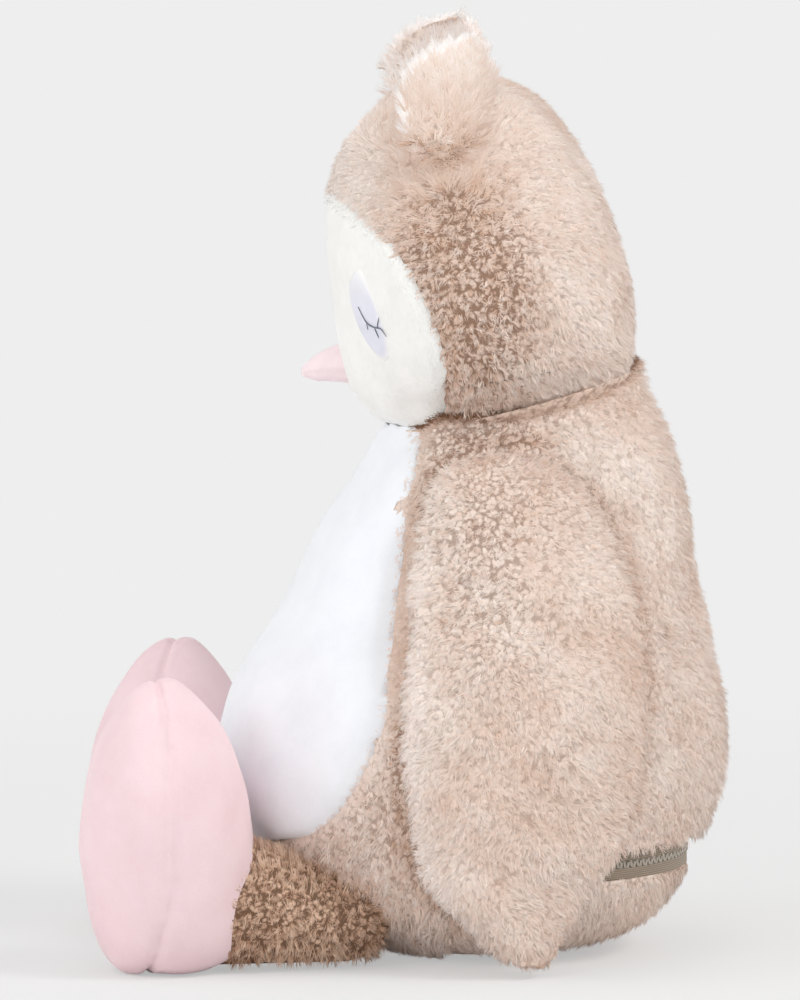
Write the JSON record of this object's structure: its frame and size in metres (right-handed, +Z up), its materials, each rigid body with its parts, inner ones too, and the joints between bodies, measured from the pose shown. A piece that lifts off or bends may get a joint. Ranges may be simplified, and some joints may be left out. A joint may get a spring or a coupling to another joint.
{
  "type": "plush owl",
  "caption": "Sitting plush owl with folding ears and wings, floppy legs, a head that turns and nods, and a base flap that opens on a zip.",
  "frame": {"origin": "on the surface that the owl sits on, under the middle of its overall box", "axes": "+Z up, the owl faces -Y, its left side is +X"},
  "size_m": [0.2418, 0.268, 0.3925],
  "materials": {
    "fur": "long brown pile",
    "leg_fur": "darker brown pile",
    "ear_lining": "pale pile",
    "white_pile": "soft white pile",
    "white_knit": "smooth white knit",
    "pink_knit": "short pink nap",
    "satin": "lavender white satin",
    "thread": "grey embroidery",
    "bag": "plain lining cloth round stuffing",
    "zip_tape": "taupe woven tape with moulded teeth",
    "zip_metal": "dark enamel"
  },
  "bodies": {
    "torso": {"torso_shell": "fur", "tummy_panel": "white_knit", "body_pod": "bag", "zip_stringer_torso": "zip_tape", "zip_stop": "zip_metal"},
    "neck": {"neck_seam": "leg_fur"},
    "head": {"head_shell": "fur", "head_pod": "bag", "face_panel": "white_pile", "eye_patch_left": "satin", "eye_patch_right": "satin", "eyelash_left": "thread", "eyelash_right": "thread", "beak_upper": "pink_knit", "beak_lower": "pink_knit"},
    "ear_left": {"ear_left_outer": "fur", "ear_left_lining": "ear_lining"},
    "ear_right": {"ear_right_outer": "fur", "ear_right_lining": "ear_lining"},
    "wing_left": {"wing_left_outer": "fur", "wing_left_lining": "fur"},
    "wing_right": {"wing_right_outer": "fur", "wing_right_lining": "fur"},
    "leg_left": {"leg_left": "leg_fur", "foot_sole_left": "pink_knit", "foot_instep_left": "pink_knit"},
    "leg_right": {"leg_right": "leg_fur", "foot_sole_right": "pink_knit", "foot_instep_right": "pink_knit"},
    "base_flap": {"base_panel": "fur", "zip_stringer_base": "zip_tape"},
    "slider": {"zip_slider": "zip_metal"},
    "pull": {"zip_pull": "zip_metal"}
  },
  "joints": [
    {"name": "head_turn", "type": "hinge", "parent": "torso", "child": "neck", "pos_m": [0, 0.031, 0.288], "axis": [0, -0.2419, 0.9703], "range_deg": [-25, 25], "stiffness_Nm_per_rad": 0.6},
    {"name": "head_nod", "type": "hinge", "parent": "neck", "child": "head", "pos_m": [0, 0.031, 0.288], "axis": [1, 0, 0], "range_deg": [-8, 8], "stiffness_Nm_per_rad": 1.5},
    {"name": "ear_fold_left", "type": "hinge", "parent": "head", "child": "ear_left", "pos_m": [0.0672, 0.017, 0.329], "axis": [-0.4384, 0.8988, 0], "range_deg": [0, 30], "stiffness_Nm_per_rad": 0.03},
    {"name": "ear_fold_right", "type": "hinge", "parent": "head", "child": "ear_right", "pos_m": [-0.0672, 0.017, 0.329], "axis": [-0.4384, -0.8988, 0], "range_deg": [0, 30], "stiffness_Nm_per_rad": 0.03},
    {"name": "wing_lift_left", "type": "hinge", "parent": "torso", "child": "wing_left", "pos_m": [0.0615, 0.031, 0.215], "axis": [0, -1, 0], "range_deg": [0, 75]},
    {"name": "wing_lift_right", "type": "hinge", "parent": "torso", "child": "wing_right", "pos_m": [-0.0615, 0.031, 0.215], "axis": [0, 1, 0], "range_deg": [0, 75]},
    {"name": "leg_hang_left", "type": "hinge", "parent": "torso", "child": "leg_left", "pos_m": [0.06, -0.024, 0.02], "axis": [0.9903, 0.1392, 0], "range_deg": [0, 32]},
    {"name": "leg_hang_right", "type": "hinge", "parent": "torso", "child": "leg_right", "pos_m": [-0.06, -0.024, 0.02], "axis": [0.9703, -0.2419, 0], "range_deg": [0, 32]},
    {"name": "base_flap_open", "type": "hinge", "parent": "torso", "child": "base_flap", "pos_m": [0, 0.012, 0], "axis": [-1, 0, 0], "range_deg": [0, 60]},
    {"name": "zip_slide", "type": "hinge", "parent": "torso", "child": "slider", "pos_m": [0, 0.031, 0.042], "axis": [0, 0, -1], "range_deg": [0, 115]},
    {"name": "zip_pull_swing", "type": "hinge", "parent": "slider", "child": "pull", "pos_m": [-0.07954, 0.07842, 0.042], "axis": [0.512, 0.859, 0], "range_deg": [0, 75]}
  ],
  "couplings": [
    {"joint": "zip_slide", "follows": "base_flap_open", "ratio": 1.9}
  ]
}
